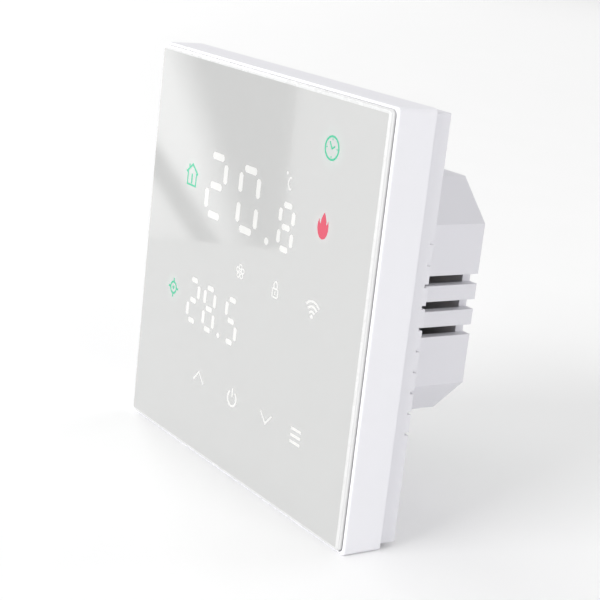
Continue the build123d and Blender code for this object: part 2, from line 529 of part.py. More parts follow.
with BuildPart() as socket_body:
    with BuildSketch(facing(Y_POWER)):
        with Locations((0, LINK_Z)):
            Rectangle(PINS_X * PIN_PITCH, PINS_Z * PIN_PITCH)
            with GridLocations(PIN_PITCH, PIN_PITCH, PINS_X, PINS_Z):
                Circle(SOCKET_BORE_R, mode=Mode.SUBTRACT)
    extrude(amount=Y_POWER - SOCKET_FRONT)

with BuildPart() as socket_contacts:
    with BuildSketch(facing(Y_POWER)):
        with Locations((0, LINK_Z)):
            with GridLocations(PIN_PITCH, PIN_PITCH, PINS_X, PINS_Z):
                Circle(CONTACT_R)
                Circle(CONTACT_BORE_R, mode=Mode.SUBTRACT)
    extrude(amount=Y_POWER - SOCKET_FRONT - CONTACT_DROP)

with BuildPart() as relay:
    with BuildSketch(facing(RELAY_BACK)):
        with Locations((RELAY_X, RELAY_Z)):
            RectangleRounded(RELAY_WIDTH, RELAY_HEIGHT, RELAY_CORNER)
    extrude(amount=RELAY_BACK - Y_POWER_BACK)
    fillet(relay.faces().sort_by(Axis.Y)[-1].edges(), RELAY_EDGE)

CORE_MID_Y = CORE_BACK - CORE_DEPTH / 2

with BuildPart() as transformer_core:
    with BuildSketch(facing(CORE_BACK)):
        with Locations((CORE_X, CORE_Z)):
            Rectangle(CORE_WIDTH, CORE_HEIGHT)
    extrude(amount=CORE_DEPTH)
    # two windows leave the middle leg for the winding
    windows_z = (CORE_Z - CORE_WINDOW_OFFSET, CORE_Z + CORE_WINDOW_OFFSET)
    with Locations([(CORE_X, CORE_MID_Y, z) for z in windows_z]):
        Box(CORE_WIDTH, CORE_WINDOW_DEPTH, CORE_WINDOW_Z, mode=Mode.SUBTRACT)

with BuildPart() as transformer_bobbin:
    with Locations([(CORE_X, y, CORE_Z) for y in (BOBBIN_FRONT, BOBBIN_BACK)]):
        Box(BOBBIN_WIDTH, BOBBIN_RIM, BOBBIN_HEIGHT)
    # foot on the board, joined to the rims by two legs
    with Locations((CORE_X, Y_POWER_BACK + BOBBIN_FOOT_THICK / 2, CORE_Z)):
        Box(BOBBIN_WIDTH, BOBBIN_FOOT_THICK, BOBBIN_FOOT_HEIGHT)
    leg_x = (BOBBIN_WIDTH - BOBBIN_LEG) / 2
    leg_y = (Y_POWER_BACK + BOBBIN_FRONT) / 2
    with Locations([(x, leg_y, CORE_Z) for x in (CORE_X - leg_x, CORE_X + leg_x)]):
        Box(BOBBIN_LEG, BOBBIN_FRONT - Y_POWER_BACK, BOBBIN_LEG_HEIGHT)
    # square tube round the core's middle leg
    with Locations((CORE_X, CORE_MID_Y, CORE_Z)):
        Box(TUBE_WIDTH, BOBBIN_BACK - BOBBIN_FRONT, TUBE_HEIGHT)
        Box(TUBE_BORE, CORE_DEPTH + CUT_SPARE, TUBE_BORE_HEIGHT, mode=Mode.SUBTRACT)

with BuildPart() as transformer_winding:
    with BuildSketch(facing(COIL_BACK)):
        with Locations((CORE_X, CORE_Z)):
            RectangleRounded(COIL_WIDTH, COIL_HEIGHT, COIL_CORNER)
            Rectangle(COIL_BORE, COIL_HEIGHT + CUT_SPARE, mode=Mode.SUBTRACT)
    extrude(amount=COIL_DEPTH)

with BuildPart() as bulk_capacitors:
    with BuildSketch(facing(CAN_BACK)):
        with Locations([(x, CANS_Z) for x in CANS_X]):
            Circle(CAN_R)
    extrude(amount=CAN_BACK - Y_POWER_BACK)
    fillet(bulk_capacitors.edges().filter_by(GeomType.CIRCLE), CAN_EDGE)

with BuildPart() as film_capacitor:
    with BuildSketch(facing(FILM_CAP_BACK)):
        with Locations((FILM_CAP_X, FILM_CAP_Z)):
            Rectangle(FILM_CAP_WIDTH, FILM_CAP_HEIGHT)
    extrude(amount=FILM_CAP_BACK - Y_POWER_BACK)
    chamfer(film_capacitor.faces().sort_by(Axis.Y)[-1].edges(), FILM_CAP_BEVEL)

with BuildPart() as varistor:
    with BuildSketch(Plane.XY.offset(DISC_Z)):
        with Locations((DISC_X, DISC_Y)):
            Circle(DISC_R)
    extrude(amount=DISC_THICK)
    fillet(varistor.edges(), DISC_EDGE)
    lead_y = (Y_POWER_BACK + DISC_LEAD_TOP) / 2
    leads_x = (DISC_X - DISC_LEAD_SPREAD, DISC_X + DISC_LEAD_SPREAD)
    with Locations([(x, lead_y, DISC_Z + DISC_THICK / 2) for x in leads_x]):
        Box(LEAD, DISC_LEAD_TOP - Y_POWER_BACK, LEAD)

with BuildPart() as fuse_resistor:
    with BuildSketch(Plane.XY.offset(RESISTOR_LOW)):
        with Locations((RESISTOR_X, Y_POWER_BACK + RESISTOR_RISE)):
            Circle(RESISTOR_R)
    extrude(amount=RESISTOR_LENGTH)
    fillet(fuse_resistor.edges().filter_by(GeomType.CIRCLE), RESISTOR_EDGE)
    # a lead through the body that turns down to the board at each end
    mid_z = RESISTOR_LOW + RESISTOR_LENGTH / 2
    ends_z = (mid_z - RESISTOR_LEAD_SPREAD, mid_z + RESISTOR_LEAD_SPREAD)
    with Locations([(RESISTOR_X, Y_POWER_BACK + RESISTOR_RISE / 2, z) for z in ends_z]):
        Box(LEAD, RESISTOR_RISE, LEAD)
    with Locations((RESISTOR_X, Y_POWER_BACK + RESISTOR_RISE, mid_z)):
        Box(LEAD, LEAD, RESISTOR_LEAD_LENGTH)

with BuildPart() as bridge_rectifier:
    with BuildSketch(facing(Y_POWER)):
        with Locations((BRIDGE_X, BRIDGE_Z)):
            Rectangle(BRIDGE_WIDTH, PACKAGE_HEIGHT)
    extrude(amount=BRIDGE_THICK)
    chamfer(bridge_rectifier.faces().sort_by(Axis.Y)[0].edges(), PACKAGE_BEVEL)

with BuildPart() as power_controller:
    with BuildSketch(facing(Y_POWER)):
        with Locations((DRIVER_X, DRIVER_Z)):
            Rectangle(DRIVER_WIDTH, PACKAGE_HEIGHT)
    extrude(amount=DRIVER_THICK)
    chamfer(power_controller.faces().sort_by(Axis.Y)[0].edges(), PACKAGE_BEVEL)

with BuildPart() as terminal_block:
    with BuildSketch(facing(BLOCK_BACK)):
        with Locations((0, TERMINAL_Z)):
            Rectangle(BLOCK_X, BLOCK_Z)
    extrude(amount=BLOCK_BACK - Y_POWER_BACK)
    # a cell for each cage, a mouth for its wire, a way through for the contact's leg
    cell_mid_z = (CELL_LOW_Z + CELL_HIGH_Z) / 2
    with Locations([(x, (CELL_FLOOR + CELL_TOP) / 2, cell_mid_z) for x in TERMINALS_X]):
        Box(CELL_X, CELL_TOP - CELL_FLOOR, CELL_HIGH_Z - CELL_LOW_Z, mode=Mode.SUBTRACT)
    with Locations([(x, wire_y, TERMINAL_Z - BLOCK_Z / 2) for x in TERMINALS_X]):
        Box(WIRE_MOUTH, BAR_Y - CAGE_FLOOR + WIRE_MOUTH_SPARE, WIRE_MOUTH_DEPTH, mode=Mode.SUBTRACT)
    with Locations([(x, (Y_POWER_BACK + CELL_FLOOR) / 2, PIN_Z) for x in TERMINALS_X]):
        Box(PIN_WAY[0], CELL_FLOOR - Y_POWER_BACK, PIN_WAY[1], mode=Mode.SUBTRACT)
    # bore for each screw's shank, its head, and a narrower way in for the screwdriver
    bores = [
        (SCREW_HEAD_Y, CELL_TOP, SHANK_BORE_R),
        (HEAD_BORE_BACK, HEAD_BORE_FRONT, HEAD_BORE_R),
        (BLOCK_BACK, HEAD_BORE_BACK, DRIVER_BORE_R),
    ]
    for back, front, radius in bores:
        with BuildSketch(facing(back)):
            with Locations([(x, CLAMP_Z) for x in TERMINALS_X]):
                Circle(radius)
        extrude(amount=back - front, mode=Mode.SUBTRACT)

with BuildPart() as terminal_contacts:
    # a bar inside each cage, and a leg that goes down through the board
    with Locations([(x, BAR_Y + BAR_THICK / 2, (BAR_LOW + BAR_HIGH) / 2) for x in TERMINALS_X]):
        Box(BAR_X, BAR_THICK, BAR_HIGH - BAR_LOW)
    with Locations([(x, (BAR_Y + PIN_FRONT) / 2, PIN_Z) for x in TERMINALS_X]):
        Box(PIN_X, BAR_Y - PIN_FRONT, PIN_THICK)

terminal_clamps = []
terminal_screws = []
for x in TERMINALS_X:
    with BuildPart() as clamp:
        with Locations((x, (CAGE_LOW + CAGE_TOP) / 2, CLAMP_Z)):
            Box(CAGE_X, CAGE_TOP - CAGE_LOW, CAGE_Z)
        # the wire and the contact bar share the cage's window
        with Locations((x, (CAGE_FLOOR + CAGE_NUT) / 2, CLAMP_Z)):
            Box(CAGE_X - 2 * CAGE_WALL, CAGE_NUT - CAGE_FLOOR, CAGE_Z, mode=Mode.SUBTRACT)
        with BuildSketch(facing(CAGE_TOP)):
            with Locations((x, CLAMP_Z)):
                Circle(CLAMP_BORE_R)
        extrude(amount=CAGE_TOP - CAGE_NUT, mode=Mode.SUBTRACT)
    terminal_clamps.append(clamp)
    with BuildPart() as screw:
        with BuildSketch(facing(SCREW_HEAD_BACK)):
            with Locations((x, CLAMP_Z)):
                Circle(SCREW_HEAD_R)
        extrude(amount=SCREW_HEAD_BACK - SCREW_HEAD_Y)
        with BuildSketch(facing(SCREW_HEAD_Y)):
            with Locations((x, CLAMP_Z)):
                Circle(TERMINAL_SCREW_R)
        extrude(amount=SCREW_HEAD_Y - SCREW_TIP)
        chamfer(screw.faces().sort_by(Axis.Y)[0].edges(), SCREW_TIP_BEVEL)
        with Locations((x, SCREW_HEAD_BACK - SCREW_SLOT_DEPTH / 2, CLAMP_Z)):
            Box(2 * SCREW_HEAD_R, SCREW_SLOT_DEPTH, SCREW_SLOT, mode=Mode.SUBTRACT)
    terminal_screws.append(screw)

# ===================================== files ======================================

NAMED = {
    "front_glass": front_glass, "glass_adhesive": glass_adhesive, "front_housing": front_housing,
    "display_mask": display_mask, "diffuser_film": diffuser_film, "display_board": display_board,
    "display_leds": display_leds, "touch_springs": touch_springs, "microcontroller": microcontroller,
    "wifi_board": wifi_board, "wifi_shield": wifi_shield, "room_sensor": room_sensor,
    "header_body": header_body, "header_pins": header_pins, "inner_cover": inner_cover,
    "inner_cover_screws": inner_cover_screws, "rear_casing": rear_casing, "power_cover": power_cover,
    "power_cover_screws": power_cover_screws, "power_board": power_board, "socket_body": socket_body,
    "socket_contacts": socket_contacts, "relay": relay, "transformer_core": transformer_core,
    "transformer_bobbin": transformer_bobbin, "transformer_winding": transformer_winding,
    "bulk_capacitors": bulk_capacitors, "film_capacitor": film_capacitor, "varistor": varistor,
    "fuse_resistor": fuse_resistor, "bridge_rectifier": bridge_rectifier,
    "power_controller": power_controller, "terminal_block": terminal_block,
    "terminal_contacts": terminal_contacts,
}
NAMED.update({f"terminal_clamp_{i}": clamp for i, clamp in enumerate(terminal_clamps, 1)})
NAMED.update({f"terminal_screw_{i}": screw for i, screw in enumerate(terminal_screws, 1)})

for name, piece in NAMED.items():
    finish(piece, name)
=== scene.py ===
import json
import math

import bmesh
import bpy
from mathutils import Matrix, Vector


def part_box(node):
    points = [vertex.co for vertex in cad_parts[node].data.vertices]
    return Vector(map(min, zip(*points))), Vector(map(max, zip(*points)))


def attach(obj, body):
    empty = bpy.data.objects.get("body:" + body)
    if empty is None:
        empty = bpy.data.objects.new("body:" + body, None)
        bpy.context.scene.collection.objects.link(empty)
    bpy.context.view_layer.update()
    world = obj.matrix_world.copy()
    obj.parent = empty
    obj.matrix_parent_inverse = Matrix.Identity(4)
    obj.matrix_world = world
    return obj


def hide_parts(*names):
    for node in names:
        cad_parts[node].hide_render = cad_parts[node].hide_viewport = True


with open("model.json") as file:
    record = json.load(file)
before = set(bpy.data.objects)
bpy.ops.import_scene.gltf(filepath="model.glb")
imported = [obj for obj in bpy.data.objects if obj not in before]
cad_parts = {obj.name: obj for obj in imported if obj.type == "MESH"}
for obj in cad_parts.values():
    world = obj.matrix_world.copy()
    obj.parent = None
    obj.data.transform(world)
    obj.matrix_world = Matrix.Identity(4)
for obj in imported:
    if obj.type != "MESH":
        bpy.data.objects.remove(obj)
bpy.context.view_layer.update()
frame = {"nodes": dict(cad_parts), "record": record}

MM = 0.001

# ---------------------------------------------------------------- sizes, in millimetres
GLASS_WIDTH = 84.6
GLASS_HEIGHT = 84.78
GLASS_RISE = 0.09           # the pane lies this much above the middle
GLASS_CORNER = 1.0
GLASS_ROUND = 0.8           # radius of the pane's rounded front edges
GLASS_BEVEL = 0.15          # bevel of its rear edges
GLASS_FRONT = -13.7         # y of the glass's front face
GLASS_BACK = -11.7
LIT_FRONT = -13.72          # y range of the lit marks, let into the glass print
LIT_BACK = -13.6
FLOOR_Z = -43.0             # the thermostat stands on its bottom edge
FLOOR_DROP = 0.02           # the floor lies this much under it
FLOOR_REACH = 6000.0
REAR_WALL = 26.5
LABEL_X, LABEL_Z = 0.0, 6.0
LABEL_FRONT, LABEL_BACK = 26.2, 26.35       # the plate lies in a recess of the rear wall
INK = 0.02                  # thickness of the print on the rear
LABEL_LINE = 0.28
NUMBER_LINE = 0.26
NUMBER_Z = -9.4
TERMINAL_PITCH = 5.08

# the camera stands to the right of the front, a little above, and is tilted
CAMERA_PLACE = (259.056, -180.643, 76.950)
CAMERA_TARGET = (19.277, -12.7, 1.172)
CAMERA_TILT = 6.473         # degrees
CAMERA_LENS = 93.01
SENSOR_WIDTH = 36.0

# name, place in metres and power of each lamp, all square and aimed at the origin
LAMP_SIDE = 2.0
LAMPS = [
    ("key", (-1.6, -1.4, 2.2), 9.7),
    ("front", (0.2, -3.0, 1.0), 80.0),
    ("right", (3.0, 0.2, 0.8), 22.0),
    ("back", (0.0, 3.0, 1.2), 20.0),
    ("left", (-3.0, 0.2, 1.0), 34.0),
]
SKY = 0.54

# the card that the glass mirrors: its middle, its extent along u and up v, its strength
CARD_PLACE = (-190.0, -120.0, 0.0)
CARD_U = (-80.0, 25.0)
CARD_V = (-42.0, 60.0)
CARD_GLOW = 2.0

# x, z of the middle, height, width, stroke and number of each seven-segment digit
BIG_DIGITS = [
    (-14.4, 16.6, 14.0, 8.3, 1.5, "2"),
    (-1.5, 16.4, 14.0, 8.3, 1.5, "0"),
    (13.1, 14.2, 10.0, 5.8, 1.2, "8"),
]
BIG_POINT = (6.7, 9.9, 1.5)
SMALL_DIGITS = [
    (-19.3, -9.6, 10.1, 5.2, 1.1, "2"),
    (-12.5, -9.7, 10.1, 5.2, 1.1, "8"),
    (-3.4, -9.7, 10.1, 5.2, 1.1, "5"),
]
SMALL_POINT = (-7.9, -14.1, 1.1)
CLOCK = (25.5, 32.4)
HOUSE = (-24.6, 16.9)
FLAME = (25.5, 17.4)
TARGET = (-28.2, -9.1)
FAN = (-1.7, 1.4)
PADLOCK = (11.8, 1.3)
SIGNAL = (25.15, 0.95)
DEGREE = (11.7, 24.9)
KEY_Z = -25.3
KEY_UP_X = -14.0
KEY_POWER_X = 0.05
KEY_DOWN_X = 13.3
KEY_MENU_X = 24.35

SEGMENTS = {
    "0": "abcdef",
    "2": "abged",
    "5": "afgcd",
    "8": "abcdefg",
}

# ---------------------------------------------------------------- mesh helpers


def new_object(name, bm, materials):
    """An object from a finished bmesh, with its normals made to face outwards."""
    bmesh.ops.recalc_face_normals(bm, faces=bm.faces)
    mesh = bpy.data.meshes.new(name)
    bm.to_mesh(mesh)
    bm.free()
    piece = bpy.data.objects.new(name, mesh)
    bpy.context.scene.collection.objects.link(piece)
    for material in materials:
        mesh.materials.append(material)
    return piece


def prism(bm, outline, front, back):
    """A closed plate with its outline given in x, z, between two y planes."""
    near = [bm.verts.new((x * MM, front * MM, z * MM)) for x, z in outline]
    far = [bm.verts.new((x * MM, back * MM, z * MM)) for x, z in outline]
    bm.faces.new(near)
    bm.faces.new(list(reversed(far)))
    for i in range(len(outline)):
        j = (i + 1) % len(outline)
        bm.faces.new((near[i], near[j], far[j], far[i]))


def ribbon(bm, points, width, front, back, closed=False):
    """A flat stroke of constant width along a polyline in x, z, with mitred corners."""
    count = len(points)
    pts = [Vector(p) for p in points]
    rows = []
    for i, here in enumerate(pts):
        before = pts[i - 1] if (closed or i > 0) else None
        after = pts[(i + 1) % count] if (closed or i < count - 1) else None
        into = (here - before).normalized() if before is not None else None
        out = (after - here).normalized() if after is not None else None
        into = into or out
        out = out or into
        side = Vector((-(into.y + out.y), into.x + out.x)).normalized()
        square = Vector((-out.y, out.x))
        reach = width / 2 / max(side.dot(square), 0.5)
        left, right = here + side * reach, here - side * reach
        rows.append([
            bm.verts.new((p.x * MM, y * MM, p.y * MM))
            for p, y in ((left, front), (right, front), (right, back), (left, back))
        ])
    last = count if closed else count - 1
    for i in range(last):
        a, b = rows[i], rows[(i + 1) % count]
        for k in range(4):
            bm.faces.new((a[k], a[(k + 1) % 4], b[(k + 1) % 4], b[k]))
    if not closed:
        bm.faces.new(rows[0])
        bm.faces.new(list(reversed(rows[-1])))


def arc(x, z, radius, start, end, steps):
    """Points along an arc, in degrees anticlockwise from +x as seen from the front."""
    turn = [math.radians(start + (end - start) * i / steps) for i in range(steps + 1)]
    return [(x + radius * math.cos(a), z + radius * math.sin(a)) for a in turn]


def ring(x, z, radius, steps=40):
    """Points all the way round a circle, for a closed stroke."""
    return arc(x, z, radius, 0, 360, steps)[:-1]


def rounded_box(x, z, width, height, corner, steps=4):
    """The outline of a rectangle with rounded corners, centred on x, z."""
    points = []
    for k, (sx, sz) in enumerate(((1, 1), (-1, 1), (-1, -1), (1, -1))):
        cx = x + sx * (width / 2 - corner)
        cz = z + sz * (height / 2 - corner)
        points += arc(cx, cz, corner, 90 * k, 90 * k + 90, steps)
    return points


# ---------------------------------------------------------------- material helpers


class Nodes:
    """A small wrapper that adds nodes to one material and links them by name."""

    def __init__(self, name):
        self.material = bpy.data.materials.new(name)
        self.material.use_nodes = True
        self.tree = self.material.node_tree
        self.tree.nodes.clear()
        self.output = self.add("ShaderNodeOutputMaterial")
        self.bsdf = self.add("ShaderNodeBsdfPrincipled")
        self.join(self.bsdf, "BSDF", self.output, "Surface")
        place = self.add("ShaderNodeTexCoord")
        self.place = place.outputs["Object"]

    def add(self, kind, **settings):
        node = self.tree.nodes.new(kind)
        for key, value in settings.items():
            setattr(node, key, value)
        return node

    def join(self, source, output, target, socket):
        self.tree.links.new(source.outputs[output], target.inputs[socket])

    def link(self, output, target, socket):
        self.tree.links.new(output, target.inputs[socket])

    def stretched(self, scale):
        """The object's coordinates, stretched by a different scale on each axis."""
        node = self.add("ShaderNodeMapping")
        node.inputs["Scale"].default_value = scale
        self.link(self.place, node, "Vector")
        return node.outputs["Vector"]

    def noise(self, scale, detail=3.0, roughness=0.5, vector=None):
        node = self.add("ShaderNodeTexNoise")
        node.inputs["Scale"].default_value = scale
        node.inputs["Detail"].default_value = detail
        node.inputs["Roughness"].default_value = roughness
        self.link(vector or self.place, node, "Vector")
        return node.outputs["Fac"]

    def ramp(self, factor, stops):
        """A colour ramp with (place, grey or colour) stops."""
        node = self.add("ShaderNodeValToRGB")
        elements = node.color_ramp.elements
        while len(elements) < len(stops):
            elements.new(0.5)
        for element, (where, value) in zip(elements, stops):
            element.position = where
            colour = value if isinstance(value, tuple) else (value, value, value)
            element.color = (*colour, 1.0)
        self.link(factor, node, "Fac")
        return node.outputs["Color"]

    def span(self, value, low, high, to_low, to_high):
        node = self.add("ShaderNodeMapRange")
        node.inputs["From Min"].default_value = low
        node.inputs["From Max"].default_value = high
        node.inputs["To Min"].default_value = to_low
        node.inputs["To Max"].default_value = to_high
        self.link(value, node, "Value")
        return node.outputs["Result"]

    def mix(self, factor, first, second, blend="MIX"):
        """Mixes two colours; each may be a socket or a colour."""
        node = self.add("ShaderNodeMix", data_type="RGBA", blend_type=blend)
        for socket, value in ((0, factor), (6, first), (7, second)):
            if isinstance(value, bpy.types.NodeSocket):
                self.tree.links.new(value, node.inputs[socket])
            elif isinstance(value, tuple):
                node.inputs[socket].default_value = (*value, 1.0)
            else:
                node.inputs[socket].default_value = value
        return node.outputs[2]

    def bump(self, height, strength, distance, normal=None):
        node = self.add("ShaderNodeBump")
        node.inputs["Strength"].default_value = strength
        node.inputs["Distance"].default_value = distance
        self.link(height, node, "Height")
        if normal is not None:
            self.link(normal, node, "Normal")
        return node.outputs["Normal"]

    def maths(self, operation, *values):
        """One arithmetic step on sockets and numbers."""
        node = self.add("ShaderNodeMath", operation=operation)
        for i, value in enumerate(values):
            if isinstance(value, bpy.types.NodeSocket):
                self.tree.links.new(value, node.inputs[i])
            else:
                node.inputs[i].default_value = value
        return node.outputs["Value"]

    def axis(self, name):
        """One of the object's coordinates."""
        split = self.add("ShaderNodeSeparateXYZ")
        self.link(self.place, split, "Vector")
        return split.outputs[name]

    def soft_edges(self, radius):
        node = self.add("ShaderNodeBevel", samples=6)
        node.inputs["Radius"].default_value = radius
        return node.outputs["Normal"]

    def use(self, socket, value):
        """Sets one of the surface's sockets to a socket, colour or number."""
        target = self.bsdf.inputs[socket]
        if isinstance(value, bpy.types.NodeSocket):
            self.tree.links.new(value, target)
        elif isinstance(value, tuple):
            target.default_value = (*value, 1.0)
        else:
            target.default_value = value


def moulded(name, colour, roughness, grain=0.15, mottle=0.02, edge=0.12, gloss=0.5):
    """Moulded plastic: fine spark-eroded grain, faint flow mottling and softened edges."""
    n = Nodes(name)
    cloud = n.noise(55.0, 2.0)
    shade = tuple(c * (1 - mottle) for c in colour)
    n.use("Base Color", n.mix(cloud, shade, colour))
    n.use("Roughness", n.span(n.noise(320.0, 2.0), 0.3, 0.7, roughness - 0.04, roughness + 0.04))
    n.use("Specular IOR Level", gloss)
    fine = n.noise(5200.0, 2.0, 0.6)
    coarse = n.noise(2300.0, 1.0)
    rounded = n.soft_edges(edge * MM)
    n.use("Normal", n.bump(n.maths("ADD", fine, coarse), grain, 0.00004, rounded))
    return n.material


def metal(name, colour, roughness, lines=(1.0, 1.0, 1.0), scale=900.0, edge=0.08, wear=0.25):
    """Bare or plated metal, with drawing lines along one axis and a dulled skin."""
    n = Nodes(name)
    streak = n.noise(scale, 2.0, 0.6, n.stretched(lines))
    cloud = n.noise(240.0, 4.0, 0.6)
    dark = tuple(c * (1 - wear) for c in colour)
    n.use("Base Color", n.mix(n.span(cloud, 0.35, 0.65, 0.0, 1.0), dark, colour))
    n.use("Metallic", 1.0)
    n.use("Roughness", n.span(streak, 0.3, 0.7, roughness - 0.08, roughness + 0.1))
    n.use("Normal", n.bump(streak, 0.25, 0.00002, n.soft_edges(edge * MM)))
    return n.material


def circuit_board():
    """Solder mask over copper tracks: a maze of fine lines, pads and the glass weave."""
    n = Nodes("circuit_board")
    tracks = n.add("ShaderNodeTexBrick", offset=0.37, squash=0.6, squash_frequency=3)
    tracks.inputs["Scale"].default_value = 260.0
    tracks.inputs["Mortar Size"].default_value = 0.05
    tracks.inputs["Brick Width"].default_value = 2.3
    tracks.inputs["Row Height"].default_value = 0.45
    turn = n.add("ShaderNodeMapping")
    turn.inputs["Rotation"].default_value = (math.radians(90), 0.0, 0.0)
    n.link(n.place, turn, "Vector")
    n.join(turn, "Vector", tracks, "Vector")
    cells = n.add("ShaderNodeTexVoronoi", feature="F1")
    cells.inputs["Scale"].default_value = 210.0
    n.join(turn, "Vector", cells, "Vector")
    pads = n.ramp(cells.outputs["Distance"], [(0.0, 1.0), (0.13, 1.0), (0.16, 0.0)])
    mask = n.mix(n.noise(90.0, 2.0), (0.012, 0.10, 0.045), (0.018, 0.13, 0.06))
    lined = n.mix(tracks.outputs["Fac"], mask, (0.03, 0.20, 0.09))
    n.use("Base Color", n.mix(pads, lined, (0.62, 0.63, 0.62)))
    n.use("Metallic", n.span(pads, 0.0, 1.0, 0.0, 0.9))
    n.use("Roughness", n.span(n.noise(700.0), 0.3, 0.7, 0.28, 0.42))
    n.use("Normal", n.bump(tracks.outputs["Fac"], 0.4, 0.00004))
    return n.material


def wound_wire():
    """Enamelled copper wire laid turn beside turn."""
    n = Nodes("wound_wire")
    turns = n.add("ShaderNodeTexWave", wave_type="BANDS", bands_direction="Z")
    turns.inputs["Scale"].default_value = 900.0
    turns.inputs["Distortion"].default_value = 0.6
    turns.inputs["Detail"].default_value = 1.0
    n.link(n.place, turns, "Vector")
    # painted shade: the copper darkens towards the groove between turns, where the bump sinks
    colour = n.ramp(turns.outputs["Fac"], [(0.0, (0.20, 0.05, 0.012)), (1.0, (0.72, 0.27, 0.09))])
    n.use("Base Color", colour)
    n.use("Metallic", 0.7)
    n.use("Roughness", n.span(n.noise(800.0), 0.3, 0.7, 0.25, 0.4))
    n.use("Normal", n.bump(turns.outputs["Fac"], 0.8, 0.0001))
    return n.material


def sleeve(name, colour, stripe, top):
    """A shrink sleeve over an aluminium can: bare pressed top and paler streaks."""
    n = Nodes(name)
    stops = [(0.44, colour), (0.47, stripe), (0.53, stripe), (0.56, colour)]
    band = n.ramp(n.noise(60.0, 0.0), stops)
    facing = n.add("ShaderNodeNewGeometry")
    normal = n.add("ShaderNodeSeparateXYZ")
    n.join(facing, "Normal", normal, "Vector")
    flat = n.span(normal.outputs["Y"], 0.9, 0.95, 0.0, 1.0)
    n.use("Base Color", n.mix(flat, band, top))
    n.use("Metallic", flat)
    n.use("Roughness", n.span(n.noise(500.0), 0.3, 0.7, 0.25, 0.4))
    n.use("Normal", n.bump(n.noise(1500.0), 0.15, 0.00004, n.soft_edges(0.3 * MM)))
    return n.material


def ceramic(name, colour, speck, roughness=0.5, scale=900.0):
    """Sintered or dipped ceramic: a slightly pitted skin with darker specks."""
    n = Nodes(name)
    grains = n.noise(scale, 4.0, 0.7)
    n.use("Base Color", n.mix(n.span(grains, 0.45, 0.6, 0.0, 1.0), colour, speck))
    n.use("Roughness", n.span(grains, 0.3, 0.7, roughness - 0.08, roughness + 0.08))
    n.use("Normal", n.bump(n.noise(scale * 1.7, 3.0), 0.35, 0.00006, n.soft_edges(0.2 * MM)))
    return n.material


def banded(name, colour, bands):
    """A dipped resistor body with coloured bands across X."""
    n = Nodes(name)
    stops = [(0.0, colour)]
    for k, ring_colour in enumerate(bands):
        start = 0.2 + 0.18 * k
        stops += [(start, colour), (start + 0.01, ring_colour)]
        stops += [(start + 0.07, ring_colour), (start + 0.08, colour)]
    low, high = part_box("fuse_resistor")
    n.use("Base Color", n.ramp(n.span(n.axis("X"), low.x, high.x, 0.0, 1.0), stops))
    n.use("Roughness", n.span(n.noise(900.0), 0.3, 0.7, 0.3, 0.45))
    n.use("Normal", n.bump(n.noise(1400.0), 0.3, 0.00005))
    return n.material


def printed_glass():
    """Back-printed glass: grey-white print under a polished face, with light bleeding
    through the print round each lit mark."""
    n = Nodes("printed_glass")
    cloud = n.noise(40.0, 3.0)
    print_grain = n.noise(3800.0, 2.0, 0.6)
    base = n.mix(cloud, (0.458, 0.460, 0.456), (0.468, 0.470, 0.466))
    n.use("Base Color", n.mix(n.span(print_grain, 0.3, 0.7, 0.0, 0.04), base, (0.44, 0.44, 0.44)))
    n.use("Roughness", n.span(n.noise(180.0, 4.0, 0.6), 0.3, 0.7, 0.055, 0.085))
    n.use("IOR", 1.52)
    n.use("Coat Weight", 0.3)
    n.use("Coat Roughness", 0.03)
    n.use("Normal", n.bump(n.noise(14.0, 1.0), 0.05, 0.0002))
    total = None
    for x, z, core, reach, colour in GLOWS:
        away = n.add("ShaderNodeVectorMath", operation="DISTANCE")
        away.inputs[1].default_value = (x * MM, GLASS_FRONT * MM, z * MM)
        n.link(n.place, away, 0)
        fall = n.add("ShaderNodeMapRange", interpolation_type="SMOOTHERSTEP")
        fall.inputs["From Min"].default_value = core * MM
        fall.inputs["From Max"].default_value = reach * MM
        fall.inputs["To Min"].default_value = GLOW
        fall.inputs["To Max"].default_value = 0.0
        n.join(away, "Value", fall, "Value")
        tint = n.mix(fall.outputs["Result"], (0.0, 0.0, 0.0), colour)
        total = tint if total is None else n.mix(1.0, total, tint, "ADD")
    n.use("Emission Color", total)
    n.use("Emission Strength", 1.0)
    return n.material


def painted_reflection_edge():
    """The glass's rounded edge: painted bright, with faint bands of painted reflection of the
    print and the tape.
    """
    n = Nodes("painted_reflection_edge")
    depth = n.span(n.axis("Y"), GLASS_FRONT * MM, (GLASS_FRONT + 1.0) * MM, 0.0, 1.0)
    # painted reflection: light and darker bands across the front millimetre of the edge
    lines = [(0.0, 0.60), (0.16, 0.66), (0.30, 0.58), (0.42, 0.72), (0.62, 0.70)]
    lines += [(0.78, 0.62), (1.0, 0.58)]
    streak = n.noise(420.0, 3.0, 0.6, n.stretched((1.0, 6.0, 1.0)))
    base = n.ramp(depth, lines)
    n.use("Base Color", n.mix(n.span(streak, 0.35, 0.65, 0.0, 0.12), base, (0.6, 0.62, 0.62)))
    n.use("Roughness", n.span(streak, 0.3, 0.7, 0.22, 0.34))
    n.use("IOR", 1.52)
    n.use("Normal", n.bump(n.noise(2600.0, 2.0), 0.15, 0.00003))
    return n.material


def lit(name, colour, strength, base=(0.02, 0.02, 0.02)):
    """Light let through a clear patch of the print, a little uneven over the patch."""
    n = Nodes(name)
    uneven = n.noise(260.0, 1.0)
    dim = tuple(c * 0.9 for c in colour)
    n.use("Base Color", base)
    n.use("Emission Color", n.mix(uneven, dim, colour))
    n.use("Emission Strength", strength)
    n.use("Roughness", n.span(n.noise(180.0, 4.0, 0.6), 0.3, 0.7, 0.06, 0.1))
    n.use("IOR", 1.52)
    return n.material


